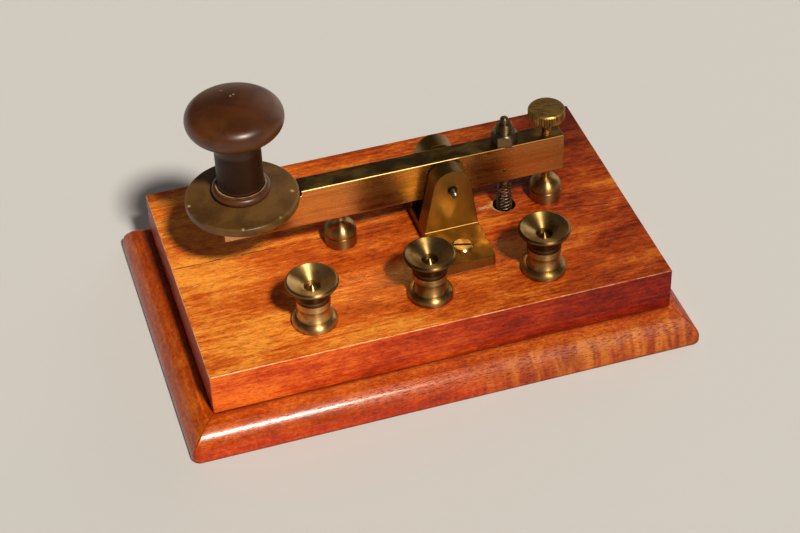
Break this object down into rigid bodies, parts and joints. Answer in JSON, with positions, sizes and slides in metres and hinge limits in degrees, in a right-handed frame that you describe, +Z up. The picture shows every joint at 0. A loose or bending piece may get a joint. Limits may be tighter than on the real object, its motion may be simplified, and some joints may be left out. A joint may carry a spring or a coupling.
{
  "type": "telegraph key",
  "caption": "Desk telegraph key: a sprung brass lever with a mushroom knob rocks in a bridge between contacts, on a moulded wooden base with dished terminal nuts.",
  "frame": {"origin": "centre of the plinth's underside", "axes": "+X along the lever from the knob to the back contact, +Y away from the terminals, +Z up"},
  "size_m": [0.1694, 0.1122, 0.0893],
  "materials": {
    "wood_plinth": "gloss varnish",
    "wood_block": "polished",
    "brass_lever": "brushed",
    "brass_bridge": "satin",
    "brass_turned": "aged, turned",
    "brass_strap": "dull",
    "steel": "worn",
    "spring_steel": "blackened",
    "knob_resin": "satin gloss",
    "guard_fibre": "faded"
  },
  "bodies": {
    "base": {"plinth": "wood_plinth", "block": "wood_block", "base_screws": "steel", "bridge": "brass_bridge", "bridge_screws": "brass_turned", "front_anvil": "brass_turned", "rear_anvil": "brass_turned", "strap_front": "brass_strap", "strap_bridge": "brass_strap", "strap_rear": "brass_strap", "under_washers": "brass_turned", "under_nuts": "brass_turned", "spring_anchor": "brass_turned", "tension_spring": "spring_steel", "terminal_post_left": "brass_turned", "terminal_stud_left": "brass_turned", "terminal_post_middle": "brass_turned", "terminal_stud_middle": "brass_turned", "terminal_post_right": "brass_turned", "terminal_stud_right": "brass_turned"},
    "lever": {"lever": "brass_lever", "pivot_pin": "steel", "hammer": "brass_turned", "knob": "knob_resin", "finger_guard": "guard_fibre", "knob_stud": "steel", "spring_rod": "brass_turned"},
    "spring_nut": {"spring_nut": "brass_turned"},
    "back_contact_screw": {"back_contact_screw": "brass_turned"},
    "terminal_nut_left": {"terminal_nut_left": "brass_turned"},
    "terminal_nut_middle": {"terminal_nut_middle": "brass_turned"},
    "terminal_nut_right": {"terminal_nut_right": "brass_turned"}
  },
  "joints": [
    {"name": "lever_rock", "type": "hinge", "parent": "base", "child": "lever", "pos_m": [0.0162, 0.00319, 0.0451], "axis": [0, -1, 0], "range_deg": [0, 1.5], "stiffness_Nm_per_rad": 0.8, "springref_deg": -8.59, "deforming": ["tension_spring"]},
    {"name": "spring_nut_turn", "type": "hinge", "parent": "lever", "child": "spring_nut", "pos_m": [0.0375, 0.00319, 0.052], "axis": [0, 0, 1], "continuous": true},
    {"name": "back_contact_turn", "type": "hinge", "parent": "lever", "child": "back_contact_screw", "pos_m": [0.052, 0.00319, 0.052], "axis": [0, 0, 1], "continuous": true},
    {"name": "terminal_nut_left_lift", "type": "slide", "parent": "base", "child": "terminal_nut_left", "axis": [0, 0, 1], "range_m": [0, 0.003]},
    {"name": "terminal_nut_middle_lift", "type": "slide", "parent": "base", "child": "terminal_nut_middle", "axis": [0, 0, 1], "range_m": [0, 0.003]},
    {"name": "terminal_nut_right_lift", "type": "slide", "parent": "base", "child": "terminal_nut_right", "axis": [0, 0, 1], "range_m": [0, 0.003]}
  ]
}
